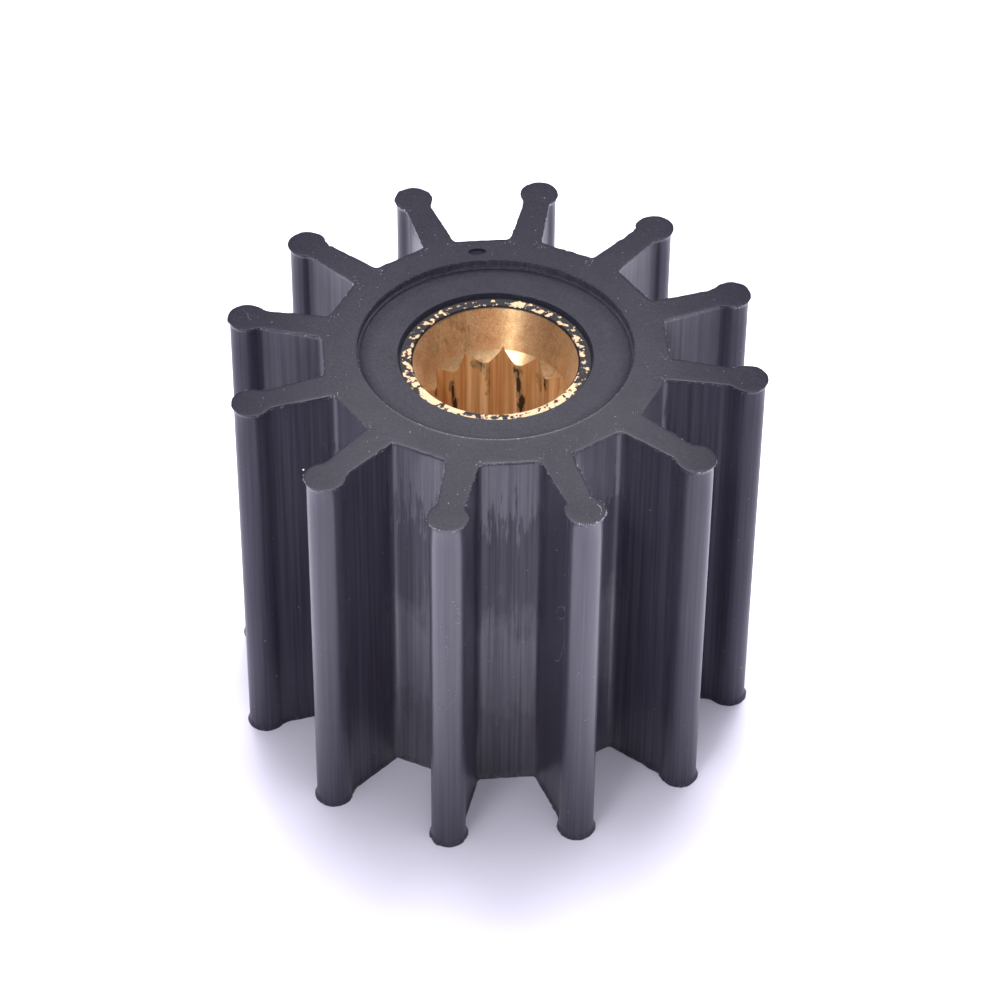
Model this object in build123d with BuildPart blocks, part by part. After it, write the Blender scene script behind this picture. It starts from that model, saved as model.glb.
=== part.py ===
# Rubber pump impeller moulded over a bronze insert with a splined bore.
# Millimetres, +Z up. The origin is the centre of the lower end, so the part stands on z = 0.
# One blade points along +X, and both ends are alike.

from build123d import *

import os
from math import atan2, cos, radians, sin, sqrt, tan

os.makedirs("parts", exist_ok=True)

# Rubber moulding, overall
impeller_height = 52.8
blade_count = 12
blade_tip_radius = 32.5        # axis to the rounded tip of a blade, without the lip
hub_flat_distance = 20.3       # axis to the flat floor between two blades

# One blade, seen from above
tip_bulb_radius = 2.1
neck_width = 2.6               # where the blade runs into its thick tip
neck_station = 28.4
root_width = 3.36              # where the blade leaves the hub
root_station = 20.9
neck_fillet = 2.0
root_fillet = 0.9

# Lip that runs around the outline at both ends
lip_overhang = 0.28
lip_height = 0.45              # end of the moulding to the plain side

# Stepped opening at both ends of the hub
recess_radius = 16.5
recess_depth = 1.15
recess_corner = 0.2            # bevel at the foot of the recess wall
collar_mouth_radius = 11.65
collar_foot_radius = 11.4
insert_inset = 1.85            # end of the moulding to the end of the bronze

# Gate mark on the upper end of the hub
gate_distance = 18.55          # from the axis
gate_angle = 107.4
gate_length = 1.9
gate_width = 1.2
gate_depth = 0.3

# Bronze insert
insert_outer_radius = 12.4
mouth_radius = 9.93
mouth_chamfer = 0.22
lead_in_radius = 8.87          # small end of the tapered lead-in
lead_in_depth = 5.9            # end of the bronze to that small end
tooth_tip_radius = 7.7
groove_tip_radius = 8.95
groove_angle = 96.0
spline_count = 12
spline_phase = 4.11            # turn of the first groove from +X
cutter_reach = 0.8             # how far the groove cutter passes the tooth tips

blade_pitch = 360.0 / blade_count
insert_top = impeller_height - insert_inset
crown_height = lead_in_radius - tooth_tip_radius


def blade_points(growth):
    """Corners and arc middles on the +Y side of the blade along +X.

    The outline is moved outward by growth. The fillet centres stay where they are, so the
    grown outline has the same edges as the plain one.
    """
    slope = atan2((root_width - neck_width) / 2.0, neck_station - root_station)
    side_normal = Vector(sin(slope), cos(slope))
    along_side = Vector(cos(slope), -sin(slope))
    half_pitch = radians(blade_pitch / 2.0)
    floor_normal = Vector(cos(half_pitch), sin(half_pitch))
    side_reach = side_normal.dot(Vector(root_station, root_width / 2.0))
    bulb_centre = Vector(blade_tip_radius - tip_bulb_radius, 0.0)

    # The root fillet keeps its radius from the side of the blade and from the floor
    side_gap = side_reach + root_fillet
    floor_gap = hub_flat_distance + root_fillet
    cross = side_normal.X * floor_normal.Y - side_normal.Y * floor_normal.X
    root_centre = Vector(
        (side_gap * floor_normal.Y - floor_gap * side_normal.Y) / cross,
        (side_normal.X * floor_gap - floor_normal.X * side_gap) / cross,
    )

    # The neck fillet touches the side of the blade and the round tip from outside
    away = side_reach + neck_fillet - side_normal.dot(bulb_centre)
    back = sqrt((tip_bulb_radius + neck_fillet) ** 2 - away**2)
    neck_centre = bulb_centre + side_normal * away - along_side * back

    to_bulb = (bulb_centre - neck_centre).normalized()
    root_middle = (side_normal + floor_normal).normalized()
    neck_middle = (to_bulb - side_normal).normalized()
    root_radius = root_fillet - growth
    neck_radius = neck_fillet - growth
    return {
        "floor": root_centre - floor_normal * root_radius,
        "root": root_centre - root_middle * root_radius,
        "side_in": root_centre - side_normal * root_radius,
        "side_out": neck_centre - side_normal * neck_radius,
        "neck": neck_centre + neck_middle * neck_radius,
        "bulb": neck_centre + to_bulb * neck_radius,
        "tip": Vector(blade_tip_radius + growth, 0.0),
    }


def outline(growth, height):
    """Face of the whole outline, moved outward by growth, at the given height."""
    points = blade_points(growth)
    with BuildSketch(Plane.XY.offset(height)) as face:
        with BuildLine():
            for blade in range(blade_count):
                turn = blade * blade_pitch
                left = {name: point.rotate(Axis.Z, turn) for name, point in points.items()}
                right = {
                    name: Vector(point.X, -point.Y).rotate(Axis.Z, turn)
                    for name, point in points.items()
                }
                next_floor = right["floor"].rotate(Axis.Z, blade_pitch)
                ThreePointArc(right["floor"], right["root"], right["side_in"])
                Line(right["side_in"], right["side_out"])
                ThreePointArc(right["side_out"], right["neck"], right["bulb"])
                ThreePointArc(right["bulb"], right["tip"], left["bulb"])
                ThreePointArc(left["bulb"], left["neck"], left["side_out"])
                Line(left["side_out"], left["side_in"])
                ThreePointArc(left["side_in"], left["root"], left["floor"])
                Line(left["floor"], next_floor)
        make_face()
    return face.sketch


with BuildPart() as rubber_impeller:
    # Body between the lips
    extrude(outline(0.0, lip_height), amount=impeller_height - 2.0 * lip_height, dir=(0, 0, 1))

    # Lips, each flaring out to the end of the moulding
    loft([outline(lip_overhang, 0.0), outline(0.0, lip_height)], ruled=True)
    upper_lip = [
        outline(0.0, impeller_height - lip_height),
        outline(lip_overhang, impeller_height),
    ]
    loft(upper_lip, ruled=True)

    # Room for the bronze and the stepped opening at both ends, as one turned cut
    with BuildSketch(Plane.XZ):
        with BuildLine():
            Polyline(
                (0.0, 0.0),
                (recess_radius, 0.0),
                (recess_radius, recess_depth),
                (collar_mouth_radius, recess_depth),
                (collar_foot_radius, insert_inset),
                (insert_outer_radius, insert_inset),
                (insert_outer_radius, insert_top),
                (collar_foot_radius, insert_top),
                (collar_mouth_radius, impeller_height - recess_depth),
                (recess_radius, impeller_height - recess_depth),
                (recess_radius, impeller_height),
                (0.0, impeller_height),
                close=True,
            )
        make_face()
    revolve(axis=Axis.Z, mode=Mode.SUBTRACT)

    # Bevelled corner at the foot of each recess wall
    recess_circles = rubber_impeller.edges().filter_by(
        lambda edge: edge.geom_type == GeomType.CIRCLE and abs(edge.radius - recess_radius) < 0.01
    )
    chamfer(recess_circles.group_by(Axis.Z)[1:-1], length=recess_corner)

    # Gate mark
    with BuildSketch(Plane.XY.offset(impeller_height)):
        with PolarLocations(gate_distance, 1, start_angle=gate_angle):
            SlotOverall(gate_length, gate_width, rotation=90)
    extrude(amount=-gate_depth, mode=Mode.SUBTRACT)

rubber_impeller.part.label = "rubber_impeller"

with BuildPart() as splined_insert:
    # Turned form: chamfered mouth, tapered lead-in, cone down to the tooth tips, at both ends
    with BuildSketch(Plane.XZ):
        with BuildLine():
            Polyline(
                (insert_outer_radius, insert_inset),
                (insert_outer_radius, insert_top),
                (mouth_radius + mouth_chamfer, insert_top),
                (mouth_radius, insert_top - mouth_chamfer),
                (lead_in_radius, insert_top - lead_in_depth),
                (tooth_tip_radius, insert_top - lead_in_depth - crown_height),
                (tooth_tip_radius, insert_inset + lead_in_depth + crown_height),
                (lead_in_radius, insert_inset + lead_in_depth),
                (mouth_radius, insert_inset + mouth_chamfer),
                (mouth_radius + mouth_chamfer, insert_inset),
                close=True,
            )
        make_face()
    revolve(axis=Axis.Z)

    # Pointed grooves, cut from end to end
    groove_depth = groove_tip_radius - tooth_tip_radius + cutter_reach
    groove_half_width = groove_depth * tan(radians(groove_angle / 2.0))
    with BuildSketch(Plane.XY.offset(insert_inset)):
        with PolarLocations(0.0, spline_count, start_angle=spline_phase):
            Polygon(
                (groove_tip_radius, 0.0),
                (groove_tip_radius - groove_depth, groove_half_width),
                (groove_tip_radius - groove_depth, -groove_half_width),
                align=None,
            )
    extrude(amount=insert_top - insert_inset, mode=Mode.SUBTRACT)

splined_insert.part.label = "splined_insert"

export_step(rubber_impeller.part, "parts/rubber_impeller.step")
export_step(splined_insert.part, "parts/splined_insert.step")
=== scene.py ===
import math
import random
from math import atan2, cos, pi, radians, sin, sqrt, tan

import bmesh
import bpy
import numpy as np
from mathutils import Matrix, Vector, noise


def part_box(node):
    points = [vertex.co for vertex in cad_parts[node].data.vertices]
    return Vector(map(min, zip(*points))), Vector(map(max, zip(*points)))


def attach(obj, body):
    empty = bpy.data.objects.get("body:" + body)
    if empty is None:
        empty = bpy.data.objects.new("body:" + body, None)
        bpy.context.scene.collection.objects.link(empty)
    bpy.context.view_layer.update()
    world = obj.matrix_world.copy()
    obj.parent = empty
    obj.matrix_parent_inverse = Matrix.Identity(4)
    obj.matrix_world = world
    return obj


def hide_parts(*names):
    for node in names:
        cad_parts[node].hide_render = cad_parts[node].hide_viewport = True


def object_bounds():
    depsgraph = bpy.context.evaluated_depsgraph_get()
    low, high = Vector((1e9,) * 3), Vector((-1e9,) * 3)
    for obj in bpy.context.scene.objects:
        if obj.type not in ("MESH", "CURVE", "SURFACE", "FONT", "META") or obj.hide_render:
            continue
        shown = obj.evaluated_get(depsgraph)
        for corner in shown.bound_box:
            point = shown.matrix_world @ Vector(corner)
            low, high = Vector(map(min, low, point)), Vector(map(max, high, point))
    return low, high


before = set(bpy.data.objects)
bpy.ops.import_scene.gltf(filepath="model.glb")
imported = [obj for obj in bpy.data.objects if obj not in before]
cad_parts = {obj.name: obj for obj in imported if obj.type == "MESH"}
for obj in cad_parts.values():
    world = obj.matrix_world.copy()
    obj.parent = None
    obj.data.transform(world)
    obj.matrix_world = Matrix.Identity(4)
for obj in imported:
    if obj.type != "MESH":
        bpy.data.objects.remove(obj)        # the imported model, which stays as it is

cadLow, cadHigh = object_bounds()
mm = 0.001        # the meshes below are worked out in millimetres
height = cadHigh.z / mm
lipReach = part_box("rubber_impeller")[1].x / mm        # axis to the outside of the lip on a blade tip
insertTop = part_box("splined_insert")[1].z / mm
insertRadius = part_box("splined_insert")[1].x / mm

scene = bpy.context.scene
scene.view_settings.view_transform = "Standard"        # white stays white, as in a catalogue picture


def hexColour(text):
    # an sRGB hex value turned to linear light
    parts = [int(text[i:i + 2], 16) / 255 for i in (1, 3, 5)]
    return tuple(c / 12.92 if c <= 0.04045 else ((c + 0.055) / 1.055) ** 2.4 for c in parts) + (1.0,)


def addNode(tree, kind, fields=None, values=None, links=None):
    # a link comes from a socket, or from the first output of a node
    node = tree.nodes.new(kind)
    for name, value in (fields or {}).items():
        setattr(node, name, value)
    for name, value in (values or {}).items():
        node.inputs[name].default_value = value
    for name, source in (links or {}).items():
        socket = source.outputs[0] if isinstance(source, bpy.types.Node) else source
        tree.links.new(socket, node.inputs[name])
    return node


# what a Math node does with its inputs
times = {"operation": "MULTIPLY"}
plus = {"operation": "ADD"}
timesPlus = {"operation": "MULTIPLY_ADD"}        # the first times the second, and the third added


def setRamp(node, stops):
    # stops are places with a hex colour or a plain value, in order
    ramp = node.color_ramp
    while len(ramp.elements) < len(stops):
        ramp.elements.new(0.5)
    for element, (place, worth) in zip(ramp.elements, stops):
        element.position = place
        element.color = hexColour(worth) if isinstance(worth, str) else (worth, worth, worth, 1.0)


def stretchedNoise(tree, place, size, stretch, detail=2.0, tilt=0.0):
    # noise with features of this size in mm, drawn out along Z
    mapped = addNode(tree, "ShaderNodeMapping", values={
        "Scale": (1.0, 1.0, 1.0 / stretch), "Rotation": (0.0, tilt, 0.0)}, links={"Vector": place})
    perMetre = 1.0 / (size * mm)
    return addNode(tree, "ShaderNodeTexNoise", values={
        "Scale": perMetre, "Detail": detail, "Roughness": 0.6}, links={"Vector": mapped})


def newMaterial(name):
    made = bpy.data.materials.new(name)
    made.use_nodes = True
    made.node_tree.nodes.clear()
    return made, made.node_tree


sharpAngle = 35.0        # degrees, from which an edge isn't smoothed over


def meshPiece(name, points, faces, materials, faceMaterial=None):
    data = bpy.data.meshes.new(name)
    data.from_pydata([tuple(p * mm for p in point) for point in points], [], faces)
    piece = bpy.data.objects.new(name, data)
    scene.collection.objects.link(piece)
    for material in materials:
        data.materials.append(material)
    if faceMaterial is not None:
        data.polygons.foreach_set("material_index", faceMaterial)
    data.shade_smooth()
    data.set_sharp_from_angle(angle=radians(sharpAngle))
    data.update()
    return piece


def storeShares(piece, name, shares):
    # one number at each point, which a material reads by this name
    attribute = piece.data.attributes.new(name, "FLOAT", "POINT")
    attribute.data.foreach_set("value", np.array(shares, dtype=np.float32))


def rotated(x, y, turn):
    return x * cos(turn) - y * sin(turn), x * sin(turn) + y * cos(turn)


# Camera at the photograph's viewing angle. It aims a little in front of the axis.
cameraPlace = {
    "aim": (2.80, -11.97, 39.35),
    "azimuth": 9.905,        # degrees round from the front, to the right
    "elevation": 42.381,
    "roll": 0.547,
    "distance": 450.93,
    "lens": 136.15,
    "sensor": 36.0,
    "clip": (0.01, 20.0),        # metres
}


def directionFrom(azimuth, elevation):
    # from the object towards a place in the studio
    a, e = radians(azimuth), radians(elevation)
    return Vector((sin(a) * cos(e), -cos(a) * cos(e), sin(e)))


def addCamera(place):
    data = bpy.data.cameras.new("camera")
    data.lens = place["lens"]
    data.sensor_width = place["sensor"]
    data.clip_start, data.clip_end = place["clip"]
    camera = bpy.data.objects.new("camera", data)
    scene.collection.objects.link(camera)
    back = directionFrom(place["azimuth"], place["elevation"])
    right = Vector((cos(radians(place["azimuth"])), sin(radians(place["azimuth"])), 0.0))
    up = back.cross(right)
    turn = radians(place["roll"])
    acrossAxis = right * cos(turn) + up * sin(turn)
    upAxis = up * cos(turn) - right * sin(turn)
    turned = Matrix((acrossAxis, upAxis, back)).transposed().to_4x4()
    spot = (Vector(place["aim"]) + back * place["distance"]) * mm
    camera.matrix_world = Matrix.Translation(spot) @ turned
    scene.camera = camera


addCamera(cameraPlace)
print("camera placed")

# Studio: pale sweep, dim tent, a strong soft box high behind the part, a wide one above, and two in front with
# grids, the narrower for the bore
studio = {
    "floorSize": 6000.0,        # mm
    "floorDrop": 0.02,        # mm under the part, so that the two don't share a plane
    "floorColour": "#ebe9f8",
    "tentColour": "#f6f3ff",
    "tentStrength": 0.25,
    "boxes": [
        # name, azimuth, elevation, distance and width in metres, brightness, colour, spread in degrees, and
        # how high over the floor it aims, in mm
        ("backBox", 188.0, 66.0, 0.42, 0.24, 20.0, "#fbfaff", 180.0, 26.4),
        ("overheadBox", 10.0, 88.0, 0.60, 0.60, 2.8, "#fbfaff", 180.0, 26.4),
        ("frontBox", -18.0, 48.0, 0.42, 0.12, 17.2, "#fdfbfd", 24.0, 40.0),
        ("boreBox", -17.0, 52.0, 0.42, 0.04, 620.0, "#e8fdf8", 5.6, 47.0),
    ],
}


def addSoftBox(name, azimuth, elevation, distance, width, brightness, colour, spread, aim):
    data = bpy.data.lights.new(name, "AREA")
    data.shape = "SQUARE"
    data.size = width
    data.spread = radians(spread)
    # A panel of this brightness seen straight on, a white world being 1. A grid gathers its power in a narrow
    # cone, and 180 degrees means no grid.
    half = radians(spread) / 2
    gathered = tan(half) / (tan(half) - half) if spread < 180.0 else 1.0
    data.energy = brightness * pi * width * width / gathered
    data.color = hexColour(colour)[:3]
    lamp = bpy.data.objects.new(name, data)
    scene.collection.objects.link(lamp)
    towards = directionFrom(azimuth, elevation)
    lamp.location = towards * distance + Vector((0.0, 0.0, aim * mm))
    lamp.rotation_mode = "QUATERNION"
    lamp.rotation_quaternion = towards.to_track_quat("Z", "Y")


def buildStudio(values):
    # painted board: matt and even, so it only gives soft light
    material, tree = newMaterial("boardPainted")
    surface = addNode(tree, "ShaderNodeBsdfPrincipled", values={
        "Base Color": hexColour(values["floorColour"]), "Roughness": 0.9, "Specular IOR Level": 0.2})
    addNode(tree, "ShaderNodeOutputMaterial", links={"Surface": surface})
    half = values["floorSize"] / 2
    corners = [(x * half, y * half, -values["floorDrop"]) for x, y in ((-1, -1), (1, -1), (1, 1), (-1, 1))]
    floor = meshPiece("studioFloor", corners, [(0, 1, 2, 3)], [material])
    world = bpy.data.worlds.new("tent")
    world.use_nodes = True
    world.node_tree.nodes.clear()
    light = addNode(world.node_tree, "ShaderNodeBackground", values={
        "Color": hexColour(values["tentColour"]), "Strength": values["tentStrength"]})
    addNode(world.node_tree, "ShaderNodeOutputWorld", links={"Surface": light})
    scene.world = world
    for box in values["boxes"]:
        addSoftBox(*box)


buildStudio(studio)
print("studio ready")

# Nitrile rubber, pressed in a steel mould: satin black, with the mould's fine upright tool lines. Release agent
# was brushed on from both ends, so each web shows ragged bands that shine more or less.
sideRubber = {
    "dark": "#3a3744",
    "light": "#474451",
    "tone": (0.35, 0.65),        # between these noise values the colour goes from dark to light
    "roughness": (0.35, 0.47),        # between the lines and on them
    "shine": 0.53,        # specular level where the film lies evenly
    "ior": 1.65,
    "sheen": 0.44,        # thin smooth film of release agent, seen where the surface turns away
    "sheenRoughness": 0.14,
    "sheenIor": 1.4,
    "kept": 0.4,        # share of that film kept where the painted shade dulls the sides
    "lineSpacing": 0.42,        # mm between the mould's tool lines
    "lineStretch": 80.0,        # they run over most of the height
    "lineDepth": 0.03,        # mm
    "lineContrast": 0.30,
    "bulbLines": 0.25,        # share of that contrast left on the rounded tips, which were polished
    "bulbReach": (26.5, 29.0),        # mm from the axis, where the contrast falls to that share
    "mottle": 0.12,        # how uneven the film is from spot to spot
    "spot": 0.45,        # mm
    "grain": 0.24,        # mm, the fine skin of the rubber, drawn twice as coarse as it is, or it wouldn't show
    "grainDepth": 0.01,        # mm
    "wear": 3.5,        # mm, slow change of the film on the blades
    "wearDepth": 0.16,        # and how strong it is
    "webReach": (22.0, 23.2),        # mm from the axis, where the webs end with the feet of the blades
    # height in mm over the lower end, and how much of the shine is left there
    "bands": [(0.0, 1.30), (6.0, 1.10), (10.6, 0.95), (12.2, 1.28), (24.0, 1.26), (30.0, 0.52), (42.2, 0.42),
              (44.0, 0.98), (52.8, 1.0)],
    "bladeShine": [(0.0, 0.42), (13.0, 0.68), (28.0, 1.02), (52.8, 1.08)],        # the same on the blades, where it is painted shade that darkens them towards the lower end
    "bristle": 0.5,        # mm, width of the marks that the brush left
    "bristleStretch": 12.0,        # how long they are for their width
    "bristleTilt": 0.10,        # radians
    "strokeHeights": (28.0, 42.0),        # mm over the lower end, where the strokes are short and long
    "strokes": (12.0, 30.0),        # mm, how far they blur the bands there
    "patch": 2.4,        # mm, width of the ragged patches
    "patchReach": 12.0,        # mm, how far they blur the bands
}


def heightShares(tree, level, stops):
    # a share that changes with the height over the lower end, given in mm. A ramp holds no more than 1, so it
    # holds half the share.
    along = addNode(tree, "ShaderNodeMath", {"operation": "DIVIDE"}, {1: height * mm}, {0: level})
    ramp = addNode(tree, "ShaderNodeValToRGB", links={"Fac": along})
    setRamp(ramp, [(z / height, share / 2) for z, share in stops])
    return addNode(tree, "ShaderNodeMath", times, {1: 2.0}, {0: ramp})


def axisReach(tree, place):
    # how far from the axis
    flat = addNode(tree, "ShaderNodeVectorMath", times, {1: (1.0, 1.0, 0.0)}, {0: place})
    return addNode(tree, "ShaderNodeVectorMath", {"operation": "LENGTH"}, links={0: flat}).outputs["Value"]


def webFilmAndShade(tree, place, v):
    # how much of the shine is left: ragged bands over the webs, and on the blades slow wear and painted shade that
    # darkens them towards the lower end
    level = addNode(tree, "ShaderNodeSeparateXYZ", links={"Vector": place}).outputs["Z"]
    onWeb = addNode(tree, "ShaderNodeMapRange", values={
        "From Min": v["webReach"][1] * mm, "From Max": v["webReach"][0] * mm},
        links={"Value": axisReach(tree, place)})
    bristles = stretchedNoise(tree, place, v["bristle"], v["bristleStretch"], 4.0, v["bristleTilt"])
    patches = stretchedNoise(tree, place, v["patch"], 1.6, 3.0)
    # the strokes are long near the upper end and short near the lower one
    reach = addNode(tree, "ShaderNodeMapRange", values={
        "From Min": v["strokeHeights"][0] * mm, "From Max": v["strokeHeights"][1] * mm,
        "To Min": v["strokes"][0] * mm, "To Max": v["strokes"][1] * mm}, links={"Value": level})
    swing = addNode(tree, "ShaderNodeMath", timesPlus, {1: 1.0, 2: -0.5}, {0: bristles})
    strokes = addNode(tree, "ShaderNodeMath", times, links={0: swing, 1: reach})
    drift = v["patchReach"] * mm
    drifts = addNode(tree, "ShaderNodeMath", timesPlus, {1: drift, 2: -drift / 2}, {0: patches})
    shift = addNode(tree, "ShaderNodeMath", plus, links={0: strokes, 1: drifts})
    blurred = addNode(tree, "ShaderNodeMath", plus, links={0: level, 1: shift})
    web = heightShares(tree, blurred, v["bands"])
    wear = stretchedNoise(tree, place, v["wear"], 5.0, 3.0)
    worn = addNode(tree, "ShaderNodeMath", timesPlus, {1: v["wearDepth"], 2: 1.0 - v["wearDepth"] / 2}, {0: wear})
    # painted shade: the blades shine less towards the lower end
    blades = addNode(tree, "ShaderNodeMath", times, links={0: worn, 1: heightShares(tree, level, v["bladeShine"])})
    return addNode(tree, "ShaderNodeMix", links={"Factor": onWeb, "A": blades, "B": web})


def mouldedRubber(v):
    material, tree = newMaterial("nitrileRubberMoulded")
    place = addNode(tree, "ShaderNodeTexCoord").outputs["Object"]
    lines = stretchedNoise(tree, place, v["lineSpacing"], v["lineStretch"], 3.0)
    grain = stretchedNoise(tree, place, v["grain"], 1.0, 2.0)
    tone = addNode(tree, "ShaderNodeValToRGB", links={"Fac": lines})
    setRamp(tone, list(zip(v["tone"], (v["dark"], v["light"]))))
    gloss = addNode(tree, "ShaderNodeMapRange", values={
        "From Min": 0.3, "From Max": 0.7, "To Min": v["roughness"][0], "To Max": v["roughness"][1]},
        links={"Value": lines})
    # the lines dull and brighten the film, less so on the rounded tips
    contrast = addNode(tree, "ShaderNodeMapRange", values={
        "From Min": v["bulbReach"][0] * mm, "From Max": v["bulbReach"][1] * mm,
        "To Min": v["lineContrast"], "To Max": v["lineContrast"] * v["bulbLines"]},
        links={"Value": axisReach(tree, place)})
    swing = addNode(tree, "ShaderNodeMapRange", values={
        "From Min": 0.33, "From Max": 0.67, "To Min": -1.0, "To Max": 1.0}, links={"Value": lines})
    ruled = addNode(tree, "ShaderNodeMath", timesPlus, {2: 1.0}, {0: swing, 1: contrast})
    spots = addNode(tree, "ShaderNodeMath", timesPlus, {1: 2 * v["mottle"], 2: 1.0 - v["mottle"]},
                    {0: stretchedNoise(tree, place, v["spot"], 1.6, 4.0)})
    film = addNode(tree, "ShaderNodeMath", times, links={0: webFilmAndShade(tree, place, v), 1: ruled})
    uneven = addNode(tree, "ShaderNodeMath", times, links={0: film, 1: spots})
    # the share of painted light and shade on the sides, stored on the points
    paintedLight = addNode(tree, "ShaderNodeAttribute", {"attribute_name": "paintedLightSides"}).outputs["Fac"]
    share = addNode(tree, "ShaderNodeMath", times, links={0: uneven, 1: paintedLight})
    # the coat of release agent keeps more of its weight than the shine where the painted shade lies
    left = addNode(tree, "ShaderNodeMath", timesPlus, {1: 1.0 - v["kept"], 2: v["kept"]}, {0: paintedLight})
    agent = addNode(tree, "ShaderNodeMath", times, links={0: uneven, 1: left})
    lineBump = addNode(tree, "ShaderNodeBump", values={
        "Strength": 0.3, "Distance": v["lineDepth"] * mm}, links={"Height": lines})
    grainBump = addNode(tree, "ShaderNodeBump", values={
        "Strength": 0.25, "Distance": v["grainDepth"] * mm}, links={"Height": grain, "Normal": lineBump})
    surface = addNode(tree, "ShaderNodeBsdfPrincipled", values={
        "IOR": v["ior"], "Coat Roughness": v["sheenRoughness"], "Coat IOR": v["sheenIor"]}, links={
        "Base Color": tone, "Roughness": gloss, "Normal": grainBump,
        "Specular IOR Level": addNode(tree, "ShaderNodeMath", times, {1: v["shine"]}, {0: share}),
        "Coat Weight": addNode(tree, "ShaderNodeMath", times, {1: v["sheen"]}, {0: agent})})
    addNode(tree, "ShaderNodeOutputMaterial", links={"Surface": surface})
    return material


# The same rubber on the end faces, pressed against a blasted plate: matt, with a fine even grain and a little dust
endRubber = {
    "dark": "#17161d",
    "light": "#201f28",
    "dust": "#66646e",
    "tone": (0.3, 0.66, 0.73, 0.8),        # noise values at which it is dark, light, still light, and dusty
    "roughness": 0.38,
    "ior": 1.52,
    "specular": 0.12,        # the pits of a blasted surface swallow part of the light
    "uneven": 0.5,        # how far the shine swings with the clouds, and again with the grain
    "grain": 0.32,        # mm, drawn twice as coarse as it is, or it wouldn't show
    "grainDepth": 0.02,        # mm
    "cloud": 3.0,        # mm, slow change of tone
}


def platedRubber(v):
    material, tree = newMaterial("nitrileRubberBlasted")
    place = addNode(tree, "ShaderNodeTexCoord").outputs["Object"]
    grain = stretchedNoise(tree, place, v["grain"], 1.0, 3.0)
    cloud = stretchedNoise(tree, place, v["cloud"], 1.0, 3.0)
    tone = addNode(tree, "ShaderNodeValToRGB", links={"Fac": grain})
    setRamp(tone, list(zip(v["tone"], (v["dark"], v["light"], v["light"], v["dust"]))))
    clouded, grained = [addNode(tree, "ShaderNodeMath", timesPlus, {1: v["uneven"], 2: 1.0 - v["uneven"] / 2},
                                {0: pattern}) for pattern in (cloud, grain)]
    uneven = addNode(tree, "ShaderNodeMath", times, links={0: clouded, 1: grained})
    # the share of painted light and shade on the end faces, stored on the points
    paintedLight = addNode(tree, "ShaderNodeAttribute", {"attribute_name": "paintedLightEnds"}).outputs["Fac"]
    share = addNode(tree, "ShaderNodeMath", times, links={0: uneven, 1: paintedLight})
    bump = addNode(tree, "ShaderNodeBump", values={
        "Strength": 0.5, "Distance": v["grainDepth"] * mm}, links={"Height": grain})
    surface = addNode(tree, "ShaderNodeBsdfPrincipled", values={"IOR": v["ior"], "Roughness": v["roughness"]}, links={
        "Base Color": tone, "Normal": bump,
        "Specular IOR Level": addNode(tree, "ShaderNodeMath", times, {1: v["specular"]}, {0: share})})
    addNode(tree, "ShaderNodeOutputMaterial", links={"Surface": surface})
    return material


# Rubber where the gate was cut off: a rough matt face, and its colour is darker still as painted shade in the shallow
# dish
cutRubber = {"dark": "#121117", "light": "#18171f", "grain": 0.2, "roughness": 0.8, "specular": 0.08}


def grainyMaterial(name, v):
    # two tones in uneven grains, which also stand up a little
    material, tree = newMaterial(name)
    place = addNode(tree, "ShaderNodeTexCoord").outputs["Object"]
    grain = stretchedNoise(tree, place, v["grain"], 1.0, 3.0)
    tone = addNode(tree, "ShaderNodeValToRGB", links={"Fac": grain})
    setRamp(tone, [(0.38, v["dark"]), (0.62, v["light"])])
    bump = addNode(tree, "ShaderNodeBump", values={"Strength": 0.4, "Distance": 0.02 * mm}, links={"Height": grain})
    surface = addNode(tree, "ShaderNodeBsdfPrincipled", values={
        "Roughness": v["roughness"], "Specular IOR Level": v["specular"]}, links={"Base Color": tone, "Normal": bump})
    addNode(tree, "ShaderNodeOutputMaterial", links={"Surface": surface})
    return material


# Outline of one blade, the same as the frame's. Lengths in mm.
blade = {
    "count": 12,
    "lip": 0.28,        # how far the lip overhangs the side
    "bulb": 2.1,        # radius of the rounded tip
    "floor": 20.3,        # axis to the flat between two blades
    "neckWidth": 2.6,
    "neckPlace": 28.4,
    "rootWidth": 3.36,
    "rootPlace": 20.9,
    "neckFillet": 2.0,
    "rootFillet": 0.9,
    "steps": {"floor": 8, "root": 6, "side": 22, "neck": 7, "bulb": 20},
}
tipRadius = lipReach - blade["lip"]


def arcPoints(centre, radius, first, last, steps):
    start = atan2(first.y, first.x)
    turn = (atan2(last.y, last.x) - start + pi) % (2 * pi) - pi
    angles = [start + turn * i / steps for i in range(steps)]
    return [(centre.x + radius * cos(a), centre.y + radius * sin(a)) for a in angles]


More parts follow.
